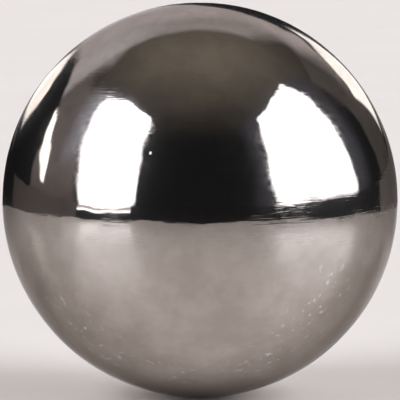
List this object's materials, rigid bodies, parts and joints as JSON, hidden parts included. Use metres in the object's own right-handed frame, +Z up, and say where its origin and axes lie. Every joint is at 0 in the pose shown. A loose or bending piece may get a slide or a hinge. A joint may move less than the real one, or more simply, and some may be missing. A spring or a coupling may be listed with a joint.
{
  "type": "steel sphere",
  "caption": "Hollow steel ball with a mirror-polished surface, sealed all round, set on a ring or cup stand as an ornament, finial or reflecting ball.",
  "frame": {"origin": "centre of the ball", "axes": "+Z up through the two poles, which is the way the half shells are pressed; the ground-flush weld seam lies on the XY plane, and -Y faces the picture's camera"},
  "size_m": [0.1, 0.1, 0.1],
  "materials": {
    "polished_steel": "mirror-polished stainless steel, with faint buffing lines"
  },
  "bodies": {
    "root": {"sphere": "polished_steel"}
  },
  "joints": []
}
